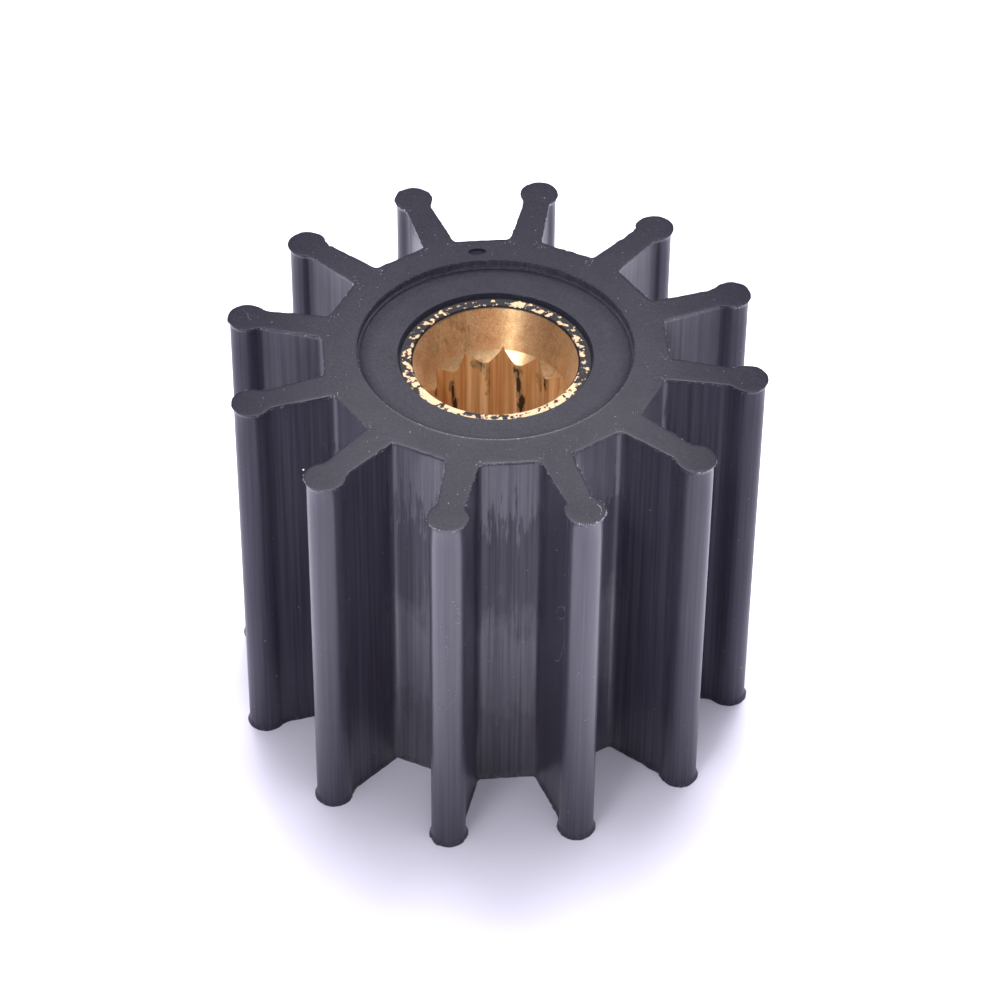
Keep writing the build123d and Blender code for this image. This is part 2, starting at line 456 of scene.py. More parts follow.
def halfBlade(growth):
    # from the middle of a floor to the tip of the blade along +X, moved outward by growth
    v = blade
    slope = atan2((v["rootWidth"] - v["neckWidth"]) / 2, v["neckPlace"] - v["rootPlace"])
    sideNormal = Vector((sin(slope), cos(slope)))
    alongSide = Vector((cos(slope), -sin(slope)))
    halfPitch = pi / v["count"]
    floorNormal = Vector((cos(halfPitch), sin(halfPitch)))
    sideReach = sideNormal.dot(Vector((v["rootPlace"], v["rootWidth"] / 2)))
    bulbCentre = Vector((tipRadius - v["bulb"], 0.0))
    sideGap = sideReach + v["rootFillet"]
    floorGap = v["floor"] + v["rootFillet"]
    cross = sideNormal.x * floorNormal.y - sideNormal.y * floorNormal.x
    rootCentre = Vector(((sideGap * floorNormal.y - floorGap * sideNormal.y) / cross,
                         (sideNormal.x * floorGap - floorNormal.x * sideGap) / cross))
    away = sideReach + v["neckFillet"] - sideNormal.dot(bulbCentre)
    back = sqrt((v["bulb"] + v["neckFillet"]) ** 2 - away ** 2)
    neckCentre = bulbCentre + sideNormal * away - alongSide * back
    toBulb = (bulbCentre - neckCentre).normalized()
    rootRadius = v["rootFillet"] - growth
    neckRadius = v["neckFillet"] - growth
    steps = v["steps"]
    floorMiddle = floorNormal * (v["floor"] + growth)
    floorEnd = rootCentre - floorNormal * rootRadius
    sideIn = rootCentre - sideNormal * rootRadius
    sideOut = neckCentre - sideNormal * neckRadius
    points = [tuple(floorMiddle.lerp(floorEnd, i / steps["floor"])) for i in range(steps["floor"])]
    points += arcPoints(rootCentre, rootRadius, -floorNormal, -sideNormal, steps["root"])
    points += [tuple(sideIn.lerp(sideOut, i / steps["side"])) for i in range(steps["side"])]
    points += arcPoints(neckCentre, neckRadius, -sideNormal, toBulb, steps["neck"])
    points += arcPoints(bulbCentre, v["bulb"] + growth, -toBulb, Vector((1.0, 0.0)), steps["bulb"])
    return points + [(tipRadius + growth, 0.0)]


def outline(growth):
    # the whole outline as an array of x, y, anticlockwise, starting at the middle of a floor
    left = halfBlade(growth)
    right = [(x, -y) for x, y in left]
    sector = np.array(right[:-1] + left[:0:-1])
    turns = [2 * pi * k / blade["count"] for k in range(blade["count"])]
    return np.vstack([sector @ np.array([[cos(t), sin(t)], [-sin(t), cos(t)]]) for t in turns])


plain = outline(0.0)
smallGrowth = 0.05
outward = (outline(smallGrowth) - plain) / smallGrowth        # how each point moves as the outline grows
loopSize = len(plain)

# Rubber skin. The end faces lie a hair under the frame's ends, so that the ragged edge has room to stand up.
skin = {
    "sink": 0.04,        # mm
    "raggedSize": 0.8,        # mm along the edge between one thick place of the lip and the next
    "ragged": 0.22,        # how uneven the lip is in its calm places
    "torn": 1.2,        # and how much more so in its torn ones
    "tornLength": 0.22,        # torn places are longer than thick ones, by 1 / this
    "leastLip": 0.1,        # share of the overhang that is left everywhere
    "sideRows": 18,
    "recess": 16.5,
    "recessDepth": 1.15,
    "collar": 11.65,
    "collarFoot": 11.4,
    "ringColumns": 480,
    "gateDistance": 18.42,
    "gateAngle": 107.4,        # degrees from +X
    "gateSize": (2.15, 1.2),        # mm around and outwards, at the worn rim
    "gateDepth": 0.3,
    "gateRagged": 0.06,        # how uneven its oval is
    "gateSteps": 28,
    # share of the gate mark's size and of its depth, from its worn rim to its floor
    "gateRows": [(1.45, 0.0), (1.12, 0.0), (1.0, 0.03), (0.9, 0.35), (0.78, 0.85), (0.45, 0.97), (0.2, 1.0)],
    "paintedLightTurn": 10.0,        # degrees, towards the camera's side, where the painted light on the sides and ends is strongest
    # painted shade: how much duller the flanks, the back and the front tips are, and where the flanks begin and end
    # in mm
    "paintedLightSides": (0.92, 0.84, 0.07, 10.0, 33.0),
    "paintedLightEnds": (0.6, 0.38, 0.28, 15.0, 31.5),
    "paintedShadeFoot": (0.66, 24.0),        # share of the flanks' dullness at the lower end, and the mm up to the whole
    "paintedShadeBack": (0.0, 26.0),        # mm behind the axis, from none of the back's dullness to the whole
    "paintedShadeTips": (8.0, 34.0),        # the same in front of the axis
    # painted shade: the collar round the bronze shines less
    "collarShine": 0.8,
    "recessShine": (0.3, 0.92, 16.3, 14.6),        # painted shade in the recess: share at the wall and on the open floor, and their mm from the axis
    # painted highlight: the lip's edge shines this much more
    "lipShine": 1.15,
    "beadHighlight": 2.0,        # painted highlight: how much brighter the front of the recess's rim shines
    # rows of the lip: share of the overhang, outward step in mm, depth under the end in mm
    "lipRows": [(0.0, -0.60, 0.0), (0.0, -0.10, 0.0), (0.8, -0.03, 0.0), (0.97, 0.0, 0.02), (1.0, 0.0, 0.10),
                (0.78, 0.0, 0.28), (0.42, 0.0, 0.46), (0.14, 0.0, 0.64), (0.0, 0.0, 0.85)],
    # rows of the recess's wall, outward from it and down from the end in mm: its rim is a fine bead, and it has a
    # narrow step near its foot
    "wallRows": [(0.30, 0.0), (0.14, 0.0), (0.06, -0.03), (0.0, 0.02), (-0.01, 0.10), (-0.02, 0.72), (-0.06, 0.77),
                 (-0.18, 0.80), (-0.22, 0.85)],
    # rows of the recess's floor, outward from the wall and down from the floor, and the same from the collar
    "footRows": [(-0.24, -0.03), (-0.30, 0.0), (-1.0, 0.005), (-1.9, 0.01)],
    "collarRows": [(1.2, 0.01), (0.26, 0.01), (0.10, 0.01), (0.0, 0.09)],
}


def raggedLip(seed):
    # overhang of the lip at each point of the outline
    lip = np.empty(loopSize)
    for i, (x, y) in enumerate(plain):
        spot = Vector((x, y, seed)) / skin["raggedSize"]
        rough = noise.noise(spot) + 0.8 * noise.noise(spot * 2.9)        # with a finer one on top
        torn = max(0.0, noise.noise(spot * skin["tornLength"]) - 0.12)
        lip[i] = blade["lip"] * max(skin["leastLip"], 1.0 + (skin["ragged"] + skin["torn"] * torn) * rough)
    return lip


def keepInside(points):
    # nothing stands out of the frame's box
    return np.clip(points, -lipReach, lipReach)


def rubberRows():
    # the outline and its height, row by row, from the upper end down the sides to the lower end
    v = skin
    rows = []
    topLip, lowLip = raggedLip(3.7), raggedLip(41.2)        # two different places in the noise
    for share, step, depth in v["lipRows"]:
        rows.append((keepInside(plain + outward * (topLip * share + step)[:, None]), height - v["sink"] - depth))
    lower = v["lipRows"][-1][2]
    upper = height - v["sink"] - lower
    for i in range(1, v["sideRows"]):
        rows.append((plain, upper + (lower - upper) * i / v["sideRows"]))
    for share, step, depth in reversed(v["lipRows"]):
        rows.append((keepInside(plain + outward * (lowLip * share + step)[:, None]), depth))
    return rows


def circle(radius, columns):
    angles = [2 * pi * k / columns for k in range(columns)]
    return np.array([(radius * cos(a), radius * sin(a)) for a in angles])


def boreRows():
    # radius and height down the stepped opening, the seat of the insert and out at the lower end
    v = skin
    top = height - v["sink"]
    down = [(v["recess"] + out, deep) for out, deep in v["wallRows"]]
    down += [(v["recess"] + out, v["recessDepth"] + deep) for out, deep in v["footRows"]]
    down += [(v["collar"] + out, v["recessDepth"] + deep) for out, deep in v["collarRows"]]
    upperSeat, lowerSeat = insertTop, height - insertTop
    rows = [(r, top - deep) for r, deep in down]
    rows += [(v["collarFoot"], upperSeat), (insertRadius, upperSeat)]
    rows += [(insertRadius, lowerSeat), (v["collarFoot"], lowerSeat)]
    return rows + [(r, max(0.0, deep)) for r, deep in reversed(down)]


def bridge(first, second, columns):
    # faces between two closed rows, given the index of each row's first point
    return [(first + k, second + k, second + (k + 1) % columns, first + (k + 1) % columns) for k in range(columns)]


sideFace, endFace, cutFace = range(3)        # places in the moulding's list of materials


def buildRubber(materials):
    points, faces, kinds = [], [], []
    rows = rubberRows()
    for flat, z in rows:
        points += [(x, y, z) for x, y in flat]
    endRows = {0, 1, 2, len(rows) - 4, len(rows) - 3, len(rows) - 2}
    for r in range(len(rows) - 1):
        faces += bridge(r * loopSize, (r + 1) * loopSize, loopSize)
        kinds += [endFace if r in endRows else sideFace] * loopSize
    base = len(points)
    columns = skin["ringColumns"]
    inner = boreRows()
    for radius, z in inner:
        points += [(x, y, z) for x, y in circle(radius, columns)]
    for r in range(len(inner) - 1):
        faces += [tuple(reversed(face)) for face in bridge(base + r * columns, base + (r + 1) * columns, columns)]
        (radius, z), (nextRadius, nextZ) = inner[r:r + 2]
        upright = abs(z - nextZ) > abs(radius - nextRadius)
        recessWall = upright and radius > (skin["collar"] + skin["recess"]) / 2
        kinds += [sideFace if recessWall else endFace] * columns
    gate = len(points)
    dish, dishFaces = gateDish(gate)
    points += dish
    faces += dishFaces
    flatFaces = 2 * skin["gateSteps"]        # the dish's first two rings lie in the end face
    kinds += [endFace] * flatFaces + [cutFace] * (len(dishFaces) - flatFaces)
    piece = meshPiece("rubberMoulding", points, faces, materials, kinds)
    closeEnds(piece, [[(0, loopSize), (base, columns), (gate, skin["gateSteps"])],
                      [((len(rows) - 1) * loopSize, loopSize), (base + (len(inner) - 1) * columns, columns)]])
    return piece


def gateDish(first):
    # the gate mark: a shallow oval dish in the upper end of the hub
    v = skin
    steps = v["gateSteps"]
    around, outwards = v["gateSize"]
    dish = []
    for share, sunk in v["gateRows"]:
        for k in range(steps):
            a = 2 * pi * k / steps
            ragged = 1.0 + v["gateRagged"] * noise.noise(Vector((3.0 * cos(a), 3.0 * sin(a), 7.0 + share)))
            x = v["gateDistance"] + outwards / 2 * share * ragged * cos(a)
            y = around / 2 * share * ragged * sin(a)
            dish.append((*rotated(x, y, radians(v["gateAngle"])), height - v["sink"] - v["gateDepth"] * sunk))
    found = []
    for r in range(len(v["gateRows"]) - 1):
        found += bridge(first + r * steps, first + (r + 1) * steps, steps)
    last = first + (len(v["gateRows"]) - 1) * steps
    return dish, found + [tuple(last + k for k in range(steps))]


def smoothStep(low, high, value):
    share = np.clip((value - low) / (high - low), 0.0, 1.0)
    return share * share * (3.0 - 2.0 * share)


def addPaintedLight(piece, name):
    # painted light and shade in the shine: strongest on the front, towards the camera and lamps, weaker on the
    # flanks, the back and the far front tips
    v = skin
    flanks, back, tips, near, far = v[name]
    x, y, z = np.array([vertex.co / mm for vertex in piece.data.vertices]).T
    reach = np.hypot(x, y)
    across, along = rotated(x, y, -radians(v["paintedLightTurn"]))
    lowShare, wholeHeight = v["paintedShadeFoot"]
    foot = lowShare + (1.0 - lowShare) * smoothStep(0.0, wholeHeight, z)
    share = 1.0 - flanks * foot * smoothStep(near, far, abs(across))
    share *= 1.0 - back * smoothStep(*v["paintedShadeBack"], along)
    share *= 1.0 - tips * smoothStep(*v["paintedShadeTips"], -along)
    collarEdge = v["collar"] + 0.05
    share[reach < collarEdge] *= v["collarShine"]        # painted shade: the collar round the bronze shines less
    # painted shade on the recess's floor, darkest at its wall
    inRecess = (reach < v["recess"] - 0.1) & (reach > collarEdge)
    atWall, onFloor, wallReach, floorReach = v["recessShine"]
    share[inRecess] *= atWall + (onFloor - atWall) * smoothStep(wallReach, floorReach, reach[inRecess])
    # painted highlight along the front of the recess's rim
    bead = (abs(reach - v["recess"] - 0.07) < 0.05) & (z > height - 0.1)
    share[bead] *= 1.0 + v["beadHighlight"] * smoothStep(6.0, -4.0, along[bead])
    # painted highlight along the lip's edge
    lip = (reach > blade["floor"] + 0.05) & (z > height - 0.7) & (z < height - 0.06)
    share[lip] *= v["lipShine"]
    gateX, gateY = rotated(v["gateDistance"], 0.0, radians(v["gateAngle"]))
    inGate = np.hypot(x - gateX, y - gateY) < v["gateSize"][0]
    # painted shade: the gate mark gets no shine
    share[inGate & (z < height - v["sink"] - 0.005) & (z > height - 0.5)] = 0.0
    storeShares(piece, name, share)


def closeEnds(piece, openEnds):
    # flat faces between the outline and the openings, at both ends
    work = bmesh.new()
    work.from_mesh(piece.data)
    work.verts.ensure_lookup_table()
    for loops in openEnds:
        edges = []
        for start, count in loops:
            loop = [work.verts[start + k] for k in range(count)]
            edges += [work.edges.get((loop[k], loop[(k + 1) % count])) for k in range(count)]
        filled = bmesh.ops.triangle_fill(work, use_beauty=True, use_dissolve=False, edges=edges)
        for item in filled["geom"]:
            if isinstance(item, bmesh.types.BMFace):
                item.material_index = endFace
                item.smooth = True
    bmesh.ops.recalc_face_normals(work, faces=work.faces)
    work.to_mesh(piece.data)
    work.free()
    piece.data.set_sharp_from_angle(angle=radians(sharpAngle))


rubber = buildRubber([
    mouldedRubber(sideRubber), platedRubber(endRubber), grainyMaterial("nitrileRubberCut", cutRubber)])
addPaintedLight(rubber, "paintedLightSides")
addPaintedLight(rubber, "paintedLightEnds")
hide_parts("rubber_impeller")
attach(rubber, "root")
print("rubber moulding built,", len(rubber.data.polygons), "faces")

# Tin bronze insert: ring and lead-in turned, splines broached. Rubber flash from the moulding lies on the ring.
insert = {
    "mouth": 9.93,
    "mouthChamfer": 0.22,
    "leadInEnd": 8.87,
    "leadInDepth": 5.9,
    "toothTip": 7.7,
    "toothRound": 0.10,        # mm worn off the corners of a tooth
    "crownCurve": 1.15,        # 1 is a plain cone, more is a hollow one
    "grooveTip": 9.01,
    "grooveAngle": 96.0,
    "grooveRound": 0.15,        # radius left by the broach at the bottom of a groove
    "teeth": 12,
    "phase": 4.11,        # degrees from +X to the first groove
    "columnsPerTooth": 40,
    "fineRing": 11.55,        # mm from the axis, inside which the ring has fine rows for its flash
    "seenDepth": 18.0,        # mm of the bore with fine rows, for its smears
    "rows": {"ring": 16, "leadIn": 18, "crown": 6, "bore": 36, "hidden": 3},
    "sharpAngle": 22.0,        # degrees
    "sameSpot": 0.002,        # mm, points nearer than this become one
    # degrees from +X and share of the ring under flash there, all round
    "flash": [(0, 0.62), (25, 0.62), (45, 0.64), (60, 0.70), (70, 0.52), (82, 0.48), (94, 0.72), (110, 0.82),
              (135, 0.74), (155, 0.60), (178, 0.64), (192, 0.59), (206, 0.40), (232, 0.32), (250, 0.34), (262, 0.42),
              (284, 0.42), (291, 0.28), (322, 0.26), (338, 0.52)],
    # degrees from +X, depth and size of each dark smear in degrees and mm, and how solid it is
    "smears": [(80.0, 7.9, 6.0, 0.8, 0.8), (78.5, 9.8, 3.8, 3.2, 1.1), (76.0, 13.2, 4.4, 2.8, 1.25),
               (142.0, 10.0, 3.8, 2.4, 1.0), (139.0, 13.0, 5.0, 3.0, 1.05), (114.0, 7.6, 8.0, 1.0, 0.42),
               (168.0, 7.8, 4.0, 1.6, 1.1), (137.0, 2.8, 18.0, 3.2, 0.13), (124.0, 5.0, 7.0, 1.0, 0.32),
               (45.0, 4.6, 3.5, 2.6, 0.42), (48.0, 7.6, 3.0, 1.6, 0.4), (60.0, 9.0, 6.0, 1.6, 0.5),
               (108.0, 9.5, 4.0, 3.0, 0.34)],
    "smearRim": 0.08,        # how solid a smear is at its very edge
    # the flash is thicker from this radius outwards and inwards, and by how much a mm
    "flashOuter": (10.95, 0.9),
    "flashInner": (10.16, 2.6),
}
# What lies on the bronze, and how its tool marks show
bronze = {
    "stain": "#9c5c34",        # reddish tarnish, in clouds
    "stainSize": 2.2,        # mm
    "film": "#19181c",        # rubber left on the ring by the moulding
    "filmPattern": (0.8, 1.0, 5.0),        # its patches: size in mm, stretch along the bore, detail
    "grime": "#150c07",        # rubber dust and grease in the bore
    "grimePattern": (0.7, 2.6, 4.0),
    "filmSpecular": 0.1,
    "markDepth": 0.03,        # mm
    "softRoughness": 0.12,        # how far the roughness swings with the tool marks
}
# Tin bronze, by how each surface was made. marks are the tool marks' size in mm and stretch along the bore, drawn
# coarser than they are, or they wouldn't show. relief is how far they stand up, edge how soft the film's edge is,
# and cover how dark the film is.
bronzeSurfaces = {
    # faced in the lathe and smeared with rubber: dull, dark and pale in torn patches
    "tinBronzeFaced": {
        "colours": ("#967a5a", "#b09472"), "film": "film", "metallic": 0.35, "roughness": 0.5, "marks": (0.25, 1.0),
        "relief": 0.3, "edge": 0.012, "cover": 1.0, "turned": 0.0, "stained": 0.0},
    # turned: its grooves run around the bore, so a lamp's reflection is drawn out along it as a streak
    "tinBronzeTurned": {
        "colours": ("#c69a6c", "#e6c499"), "film": "grime", "metallic": 0.85, "roughness": 0.45, "marks": (0.22, 1.0),
        "relief": 0.8, "edge": 0.10, "cover": 0.5, "turned": 0.98, "stained": 0.3},
    # the teeth's crowns, cut by the same tool in small facets: smoother, so some of them flash
    "tinBronzeChamfered": {
        "colours": ("#bd9569", "#d8b385"), "film": "grime", "metallic": 0.8, "roughness": 0.32, "marks": (0.3, 1.0),
        "relief": 0.12, "edge": 0.10, "cover": 0.6, "turned": 0.0, "stained": 0.0},
    # broached: fine straight lines along the splines, in warm satin stripes
    "tinBronzeBroached": {
        "colours": ("#be8a56", "#f6d6a8"), "film": "grime", "metallic": 0.6, "roughness": 0.38, "marks": (0.75, 40.0),
        "relief": 0.4, "edge": 0.14, "cover": 0.96, "turned": 0.0, "stained": 0.0},
}
faced, turned, chamfered, broached = range(4)        # their places in the insert's list of materials


def bronzeMaterial(name):
    v = bronzeSurfaces[name]
    material, tree = newMaterial(name)
    place = addNode(tree, "ShaderNodeTexCoord").outputs["Object"]
    lines = stretchedNoise(tree, place, *v["marks"], 3.0)
    tone = addNode(tree, "ShaderNodeValToRGB", links={"Fac": lines})
    setRamp(tone, [(0.32, v["colours"][0]), (0.68, v["colours"][1])])
    cloud = addNode(tree, "ShaderNodeMapRange", values={"From Min": 0.45, "From Max": 0.62, "To Max": v["stained"]},
                    links={"Value": stretchedNoise(tree, place, bronze["stainSize"], 1.3, 4.0)})
    # a Mix node of colours takes them in its inputs 6 and 7, and gives its colour in output 2
    mixColours = {"data_type": "RGBA"}
    stain = addNode(tree, "ShaderNodeMix", mixColours, {7: hexColour(bronze["stain"])}, {"Factor": cloud, 6: tone})
    patches = stretchedNoise(tree, place, *bronze[v["film"] + "Pattern"])
    likely = addNode(tree, "ShaderNodeAttribute", {"attribute_name": "film"}).outputs["Fac"]
    over = addNode(tree, "ShaderNodeMath", {"operation": "SUBTRACT"}, links={0: likely, 1: patches})
    share = addNode(tree, "ShaderNodeMapRange", values={
        "From Min": -v["edge"], "From Max": v["edge"], "To Max": v["cover"]}, links={"Value": over})
    colour = addNode(tree, "ShaderNodeMix", mixColours, {7: hexColour(bronze[v["film"]])},
                     {"Factor": share, 6: stain.outputs[2]})
    bare = addNode(tree, "ShaderNodeMath", timesPlus, {1: -v["metallic"], 2: v["metallic"]}, {0: share})
    swing = bronze["softRoughness"]
    gloss = addNode(tree, "ShaderNodeMath", timesPlus, {1: swing, 2: v["roughness"] - swing / 2}, {0: lines})
    lift = addNode(tree, "ShaderNodeMath", timesPlus, {1: v["relief"]}, {0: lines, 2: share})
    bump = addNode(tree, "ShaderNodeBump", values={
        "Strength": 0.5, "Distance": bronze["markDepth"] * mm}, links={"Height": lift})
    gleam = addNode(tree, "ShaderNodeMath", timesPlus, {1: bronze["filmSpecular"] - 0.5, 2: 0.5}, {0: share})
    surface = addNode(tree, "ShaderNodeBsdfPrincipled", links={
        "Base Color": colour.outputs[2], "Metallic": bare, "Roughness": gloss, "Normal": bump,
        "Specular IOR Level": gleam})
    if v["turned"]:
        # the highlight is drawn out across the grooves, a quarter turn from their direction
        around = addNode(tree, "ShaderNodeTangent", {"direction_type": "RADIAL", "axis": "Z"})
        tree.links.new(around.outputs["Tangent"], surface.inputs["Tangent"])
        surface.inputs["Anisotropic"].default_value = v["turned"]
        surface.inputs["Anisotropic Rotation"].default_value = 0.25
    addNode(tree, "ShaderNodeOutputMaterial", links={"Surface": surface})
    return material


def grooveRadius(angle):
    # distance from the axis to the groove's side, at an angle from the middle of the groove
    v = insert
    half = radians(v["grooveAngle"] / 2)
    flank = v["grooveTip"] / (cos(angle) + abs(sin(angle)) / tan(half))
    centre = v["grooveTip"] - v["grooveRound"] / sin(half)
    y = centre * sin(angle)
    if abs(y) < v["grooveRound"] * cos(half):
        rounded = centre * cos(angle) + sqrt(v["grooveRound"] ** 2 - y ** 2)
        return min(flank, rounded)
    return flank


def toothRadius(angle):
    # groove side and tooth tip with the corner between them worn round
    v = insert
    gap = grooveRadius(angle) - v["toothTip"]
    worn = v["toothRound"]
    return v["toothTip"] + (gap + sqrt(gap * gap + worn * worn)) / 2


def insertColumn(angle, fine):
    # radius, height and surface down one column of the insert's half, from its outside to its middle height
    v = insert
    steps = v["rows"] if fine else dict.fromkeys(v["rows"], v["rows"]["hidden"])
    top = insertTop
    outer = v["fineRing"]
    mouth = v["mouth"] + v["mouthChamfer"]
    rows = [(insertRadius, top, faced)]
    rows += [(outer + (mouth - outer) * i / steps["ring"], top, faced) for i in range(steps["ring"] + 1)]
    rows += [(mouth - v["mouthChamfer"] * f, top - v["mouthChamfer"] * f, faced) for f in (0.5, 1.0)]
    end = toothRadius(angle)
    taperTop, taperEnd = top - v["mouthChamfer"], top - v["leadInDepth"]
    share = min(1.0, (v["mouth"] - end) / (v["mouth"] - v["leadInEnd"]))
    for i in range(1, steps["leadIn"] + 1):
        f = share * i / steps["leadIn"]
        rows.append((v["mouth"] + (v["leadInEnd"] - v["mouth"]) * f, taperTop + (taperEnd - taperTop) * f, turned))
    radius, z = rows[-1][:2]
    deep = v["leadInEnd"] - v["toothTip"]
    last = max(0.0, v["leadInEnd"] - end) / deep
    for i in range(1, steps["crown"] + 1):
        t = last * i / steps["crown"]
        sunk = deep * (1 - (1 - t) ** v["crownCurve"])
        rows.append((min(radius, v["leadInEnd"] - deep * t), z - sunk, chamfered))
    radius, z = rows[-1][:2]
    if fine:
        bottom = top - v["seenDepth"]
        rows += [(radius, z + (bottom - z) * i / steps["bore"], broached) for i in range(1, steps["bore"] + 1)]
    return rows


def filmThreshold(share):
    # noise value under which this share of a surface lies, fitted to the noise that draws the patches
    away = share - 0.5
    return 0.5 + 0.23 * away * (1 + 1.3 * away ** 2)


def filmAt(x, y, z):
    # how likely rubber or grime is at a place on the bronze
    v = insert
    turn = math.degrees(atan2(y, x)) % 360
    radius = math.hypot(x, y)
    depth = insertTop - z
    if depth < v["mouthChamfer"] + 0.01:
        angles, shares = zip(*v["flash"], (360 + v["flash"][0][0], v["flash"][0][1]))
        share = float(np.interp(turn, angles, shares))
        outer, thicker = v["flashOuter"]
        inner, thickest = v["flashInner"]
        share += thicker * max(0.0, radius - outer) + thickest * max(0.0, inner - radius) * min(1.0, share * 2.2)
        return filmThreshold(min(1.3, share))
    best = 0.0
    for angle, deep, wide, tall, solid in v["smears"]:
        far = math.hypot(((turn - angle + 180) % 360 - 180) / wide, (depth - deep) / tall)
        best = max(best, solid * (1.0 - far) + v["smearRim"] * (far < 1.0))
    return filmThreshold(best * 1.4) if best > 0 else 0.0


def buildInsert(materials):
    v = insert
    pitch = 2 * pi / v["teeth"]
    columns = v["columnsPerTooth"]
    turns = [(tooth * pitch, pitch * (k / columns - 0.5)) for tooth in range(v["teeth"]) for k in range(columns)]
    points = []
    for turn, offset in turns:
        upper, lower = insertColumn(offset, True), insertColumn(offset, False)
        whole = upper + [(r, height - z, kind) for r, z, kind in reversed(lower)]
        total = turn + offset + radians(v["phase"])
        points += [(r * cos(total), r * sin(total), z) for r, z, kind in whole]
        # the kind of a face is that of its deeper row
        kinds = [row[2] for row in upper[1:]] + [broached] + [row[2] for row in reversed(lower)][:-1] + [faced]
    rows = len(kinds)
    faces, faceKinds = [], []
    for k in range(len(turns)):
        a, b = k * rows, (k + 1) % len(turns) * rows
        faces += [(a + i, b + i, b + (i + 1) % rows, a + (i + 1) % rows) for i in range(rows)]
        faceKinds += kinds
    piece = meshPiece("bronzeInsert", points, faces, materials, faceKinds)
    work = bmesh.new()
    work.from_mesh(piece.data)
    bmesh.ops.remove_doubles(work, verts=work.verts, dist=v["sameSpot"] * mm)
    bmesh.ops.recalc_face_normals(work, faces=work.faces)
    work.to_mesh(piece.data)
    work.free()
    piece.data.set_sharp_from_angle(angle=radians(v["sharpAngle"]))
    storeShares(piece, "film", [filmAt(*(vertex.co / mm)) for vertex in piece.data.vertices])
    return piece


bronzeInsert = buildInsert([bronzeMaterial(name) for name in bronzeSurfaces])
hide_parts("splined_insert")
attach(bronzeInsert, "root")
print("bronze insert built,", len(bronzeInsert.data.polygons), "faces")

# Powder left by cutting and handling the rubber: pale and fully matt
settledDust = {"dark": "#9e9aa4", "light": "#b6b2bc", "grain": 0.25, "roughness": 0.9, "specular": 0.5}
# Pale grey bits with a dull shine: partly torn rubber, and partly a painted highlight of the lip's edge
tornRubberAndHighlight = {"dark": "#8a8793", "light": "#a29fab", "grain": 0.25, "roughness": 0.6, "specular": 0.5}
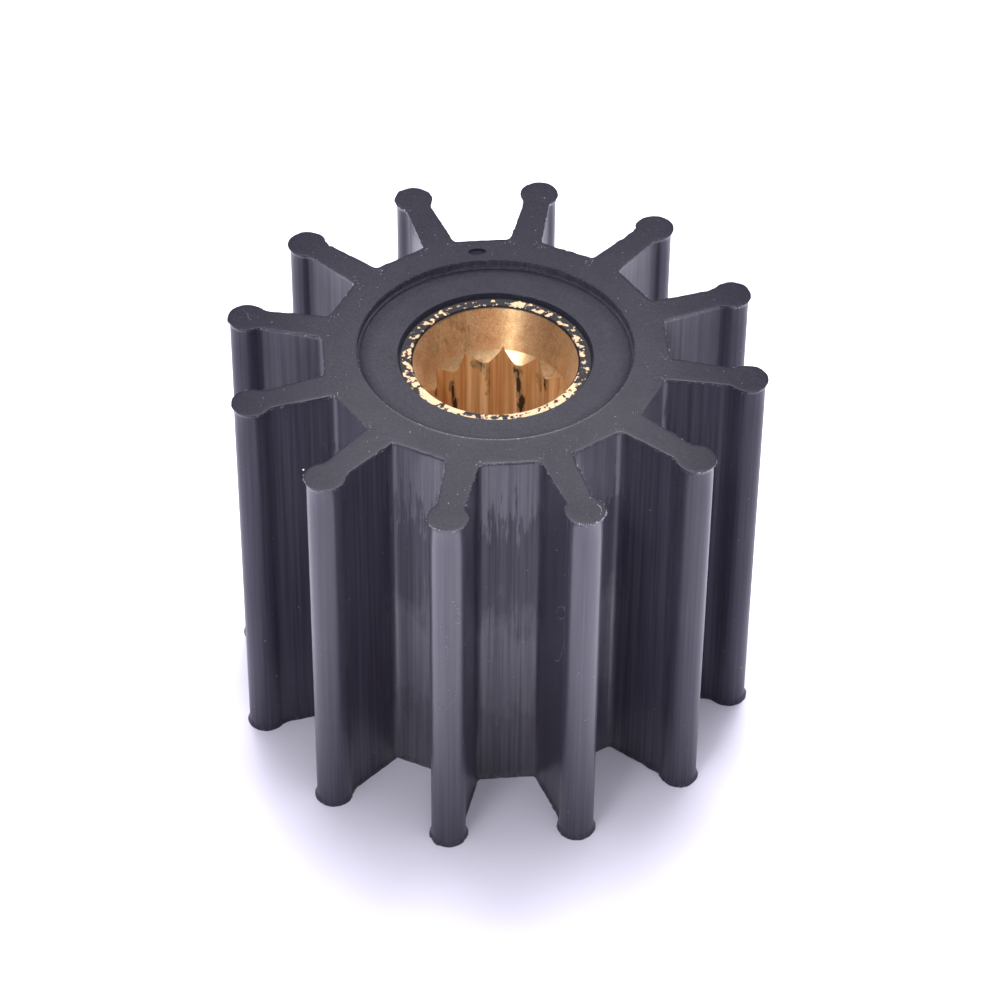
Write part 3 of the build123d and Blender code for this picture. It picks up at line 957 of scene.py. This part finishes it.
# Dust, torn bits of the lip, crumbs and threads
litter = {
    "seed": 7,
    "topSpecks": 150,
    "sideSpecks": 620,
    "rimSpecks": 1500,        # along the lips and the recess
    "cornerSpecks": 330,        # where the blades leave the hub
    "speckSize": (0.025, 0.075),        # mm
    "crumbSides": (0.6, 1.3),        # how unlike each other a crumb's corners are
    "shreds": 620,
    "shredSize": (0.06, 0.22),
    "threadStep": 1.8,        # from one crumb of a thread to the next, as a share of its radius
    "threadBreak": 0.35,        # the thread breaks off where it is weaker than this
    # crumbs: place in mm, and radius
    "crumbs": [
        (-0.41, -32.46, 37.3, 0.07), (-0.29, -32.48, 36.3, 0.05), (1.07, -32.21, 34.9, 0.06),
        (2.08, -30.68, 33.2, 0.08), (1.06, -32.21, 27.8, 0.09), (0.50, -32.44, 27.1, 0.07),
        (-0.98, -32.26, 24.1, 0.11), (-0.59, -32.42, 23.7, 0.09), (1.48, -31.89, 22.2, 0.06),
        (15.30, -28.42, 28.7, 0.08), (16.48, -27.99, 20.8, 0.05), (16.15, -28.20, 20.7, 0.05),
        (17.15, -27.11, 46.0, 0.06), (11.09, -22.17, 45.4, 0.06), (11.47, -22.76, 42.6, 0.06),
        (12.79, -24.81, 40.8, 0.05), (12.27, -24.01, 29.3, 0.06), (-17.80, -25.60, 52.8, 0.14),
    ],
    # pale torn bits along the lip: how many, their size in mm, then the places from and to which they run
    "runs": [
        (30, 0.06, [(-2.0, -20.6), (-1.75, -22.6), (-1.62, -24.4), (-1.5, -26.2)]),
        (20, 0.055, [(-1.3, -32.2), (-0.1, -32.8), (1.2, -32.7), (2.3, -32.0), (2.5, -31.3)]),
        (70, 0.08, [(14.7, -28.7), (15.8, -28.9), (16.5, -28.8), (17.2, -27.9), (17.6, -27.0), (17.6, -25.6)]),
        (30, 0.05, [(28.2, -15.2), (29.4, -15.2), (30.0, -16.2)]),
        (16, 0.05, [(-17.7, -26.6), (-17.1, -28.0), (-15.9, -28.8)]),
    ],
    # dust caught in scratches: radius in mm, then points, all on the surface
    "trails": [
        (0.070, [(0.95, -32.2, 41.4), (1.15, -32.1, 40.6), (1.45, -31.9, 39.9), (1.25, -32.1, 39.1),
                 (1.5, -31.8, 38.4), (1.2, -32.1, 38.0), (1.65, -31.7, 37.6)]),
        (0.060, [(1.6, -31.8, 40.3), (1.35, -32.0, 39.6), (1.65, -31.7, 38.9)]),
        (0.052, [(0.3, -32.4, 36.2), (0.1, -32.45, 34.9), (0.35, -32.4, 33.4), (0.2, -32.4, 32.0)]),
        (0.058, [(1.25, -32.1, 26.6), (1.0, -32.25, 25.4), (0.4, -32.4, 24.3), (-0.3, -32.45, 23.6)]),
    ],
    # threads of rubber scratched up, the same way
    "threads": [
        (0.042, [(11.84, -23.34, 33.9), (12.46, -24.29, 35.1), (12.93, -25.03, 35.2), (12.85, -24.9, 34.0),
                 (12.19, -23.88, 32.7), (11.71, -23.13, 32.7), (11.84, -23.34, 33.8)]),
        (0.032, [(12.85, -24.89, 32.3), (13.03, -25.18, 31.3), (12.92, -25.00, 29.6), (12.64, -24.57, 27.8),
                 (12.20, -23.89, 25.7), (11.56, -22.91, 24.8)]),
        (0.034, [(15.35, -24.1, 52.8), (15.7, -24.6, 52.8), (16.2, -25.0, 52.8), (16.75, -25.5, 52.8),
                 (17.0, -26.1, 52.8), (16.95, -26.8, 52.8)]),
        (0.018, [(-31.8, 2.3, 52.8), (-31.2, 1.5, 52.8), (-30.6, 0.6, 52.8), (-30.1, -0.2, 52.8)]),
    ],
}
chance = random.Random(litter["seed"])


def onSurface(x, y, z, lift):
    # the nearest place on the moulding: its upper end, or else its side
    if z > height - 0.1:
        return x, y, height - skin["sink"] + lift
    step = np.roll(plain, -1, axis=0) - plain
    share = ((np.array((x, y)) - plain) * step).sum(axis=1) / (step ** 2).sum(axis=1)
    share = np.clip(share, 0.0, 1.0)[:, None]
    places = plain + step * share
    best = int(np.argmin(((places - (x, y)) ** 2).sum(axis=1)))
    spot = places[best] + outward[best] * lift
    return float(spot[0]), float(spot[1]), z


crumbCorners = ((1, 0, 0), (-1, 0, 0), (0, 1, 0), (0, -1, 0), (0, 0, 1), (0, 0, -1))
crumbFaces = ((0, 2, 4), (2, 1, 4), (1, 3, 4), (3, 0, 4), (2, 0, 5), (1, 2, 5), (3, 1, 5), (0, 3, 5))


def addCrumb(made, centre, size, flat=1.0):
    # a small crumb with six uneven corners
    points, faces = made
    start = len(points)
    turn = chance.uniform(0.0, 2 * pi)
    for x, y, z in crumbCorners:
        grow = size * chance.uniform(*litter["crumbSides"])
        a, b = rotated(x, y, turn)
        points.append((centre[0] + a * grow, centre[1] + b * grow, centre[2] + z * grow * flat))
    faces += [tuple(start + corner for corner in face) for face in crumbFaces]


def addThread(made, radius, path):
    # scratched up along a path: a broken line of crumbs, on a smooth curve through its points
    path = [Vector(onSurface(x, y, z, radius * 0.5)) for x, y, z in path]
    for k in range(len(path) - 1):
        a, b, c, d = path[max(0, k - 1)], path[k], path[k + 1], path[min(len(path) - 1, k + 2)]
        steps = max(2, int((c - b).length / (radius * litter["threadStep"])))
        for t in (i / steps for i in range(steps)):
            spot = b + 0.5 * t * ((c - a) + t * (2 * a - 5 * b + 4 * c - d + t * (3 * (b - c) + d - a)))
            strength = 0.75 + 1.3 * noise.noise(spot * 2.3)
            if strength > litter["threadBreak"]:
                jitter = [chance.gauss(0.0, radius * 0.4) for axis in range(3)]
                size = radius * min(1.4, strength) * chance.uniform(0.7, 1.3)
                addCrumb(made, spot + Vector(jitter), size, 0.8)


def addRun(made, count, size, path):
    # pale bits where the lip is torn
    legs = [math.dist(path[k], path[k + 1]) for k in range(len(path) - 1)]
    for k in range(count):
        leg = chance.choices(range(len(legs)), legs)[0]
        spot = Vector(path[leg]).lerp(Vector(path[leg + 1]), chance.random())
        spot = Vector((spot.x + chance.gauss(0.0, 0.06), spot.y + chance.gauss(0.0, 0.06)))
        index = int(np.argmin(((plain - tuple(spot)) ** 2).sum(axis=1)))
        edge = plain[index] + outward[index] * blade["lip"] * chance.uniform(0.75, 1.1)
        low = height - skin["sink"] - abs(chance.gauss(0.0, 0.12))
        addCrumb(made, (float(edge[0]), float(edge[1]), low), size * chance.uniform(0.5, 1.2), 1.3)


def speckSize():
    low, high = litter["speckSize"]
    return low + (high - low) * chance.random() ** 2


def buildDust():
    made = [], []
    top = height - skin["sink"]
    pitch = 2 * pi / blade["count"]
    # on the upper end, half of them on the hub and half on the blades
    for k in range(litter["topSpecks"]):
        turn = chance.randrange(blade["count"]) * pitch
        if chance.random() < 0.5:
            turn += chance.uniform(-pitch / 2, pitch / 2)
            x, y = chance.uniform(skin["recess"] + 0.3, blade["floor"] - 0.3), 0.0
        else:
            x, y = chance.uniform(blade["floor"], tipRadius - 0.4), chance.uniform(-1.2, 1.2)
        addCrumb(made, (*rotated(x, y, turn), top), speckSize() * 0.8, 0.4)
    # in the corners at the feet of the blades, but not in the air beside them
    for k in range(litter["cornerSpecks"]):
        turn = chance.randrange(blade["count"]) * pitch
        x, y = blade["rootPlace"] + chance.gauss(-0.2, 0.5), 1.9 * chance.choice((-1, 1)) + chance.gauss(0.0, 0.35)
        x -= abs(y) * 0.12
        if math.hypot(x, y) > blade["floor"] + 0.3 and abs(y) > 1.6:
            continue
        addCrumb(made, (*rotated(x, y, turn), top), speckSize() * 0.68, 0.5)
    # on the sides
    for k in range(litter["sideSpecks"]):
        index = chance.randrange(loopSize)
        spot = plain[index] + outward[index] * 0.01
        addCrumb(made, (*spot, chance.uniform(1.0, height - 1.0)), speckSize() * 0.9, chance.choice((1.0, 1.0, 2.5)))
    # a fifth of them along the recess, the others along the lip
    for k in range(litter["rimSpecks"]):
        if chance.random() < 0.2:
            a, r = chance.uniform(0.0, 2 * pi), skin["recess"] + chance.uniform(0.0, 0.14)
            addCrumb(made, (r * cos(a), r * sin(a), top), speckSize() * 0.8, 0.6)
        else:
            index = chance.randrange(loopSize)
            spot = plain[index] + outward[index] * blade["lip"] * chance.uniform(0.3, 1.0)
            addCrumb(made, (*spot, top - chance.uniform(0.02, 0.4)), speckSize())
    for x, y, z, size in litter["crumbs"]:
        addCrumb(made, onSurface(x, y, z, size * 0.4), size)
    for radius, path in litter["trails"]:
        addThread(made, radius, path)
    for count, size, path in litter["runs"]:
        addRun(made, count, size, path)
    return made


def buildShreds():
    # thin torn shreds that stand out of the lip, most of them at the upper end; their pale colour is partly a painted
    # highlight of the lip's edge
    points, faces = [], []
    top = height - skin["sink"]
    low, high = litter["shredSize"]
    for k in range(litter["shreds"]):
        index = chance.randrange(loopSize)
        foot = plain[index] + outward[index] * blade["lip"] * 0.6
        along = plain[(index + 1) % loopSize] - plain[index]
        along = along / max(1e-6, float(np.hypot(*along)))
        wide = chance.uniform(0.06, 0.2)
        z = top - chance.uniform(0.0, 0.25) if chance.random() < 0.7 else chance.uniform(0.05, 0.3)
        tip = foot + outward[index] * (0.1 + chance.uniform(low, high)) + along * chance.uniform(-0.12, 0.12)
        corners = [(foot - along * wide / 2, z), (foot + along * wide / 2, z), (tip, z + chance.uniform(-0.1, 0.03)),
                   (foot, z - 0.07)]
        start = len(points)
        points += [(float(flat[0]), float(flat[1]), level) for flat, level in corners]
        faces += [(start, start + 1, start + 2), (start + 1, start, start + 3), (start, start + 2, start + 3),
                  (start + 2, start + 1, start + 3)]
    for radius, path in litter["threads"]:
        addThread((points, faces), radius, path)
    return points, faces


def finishLitter(name, made, material):
    points, faces = np.array(made[0]), made[1]
    points[:, :2] = keepInside(points[:, :2])
    points[:, 2] = np.clip(points[:, 2], 0.0, height - 0.005)
    piece = meshPiece(name, points.tolist(), faces, [material])
    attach(piece, "root")


finishLitter("dustAndThreads", buildDust(), grainyMaterial("rubberDustSettled", settledDust))
finishLitter("lipShreds", buildShreds(), grainyMaterial("nitrileRubberTornAndHighlight", tornRubberAndHighlight))
print("dust and shreds scattered")
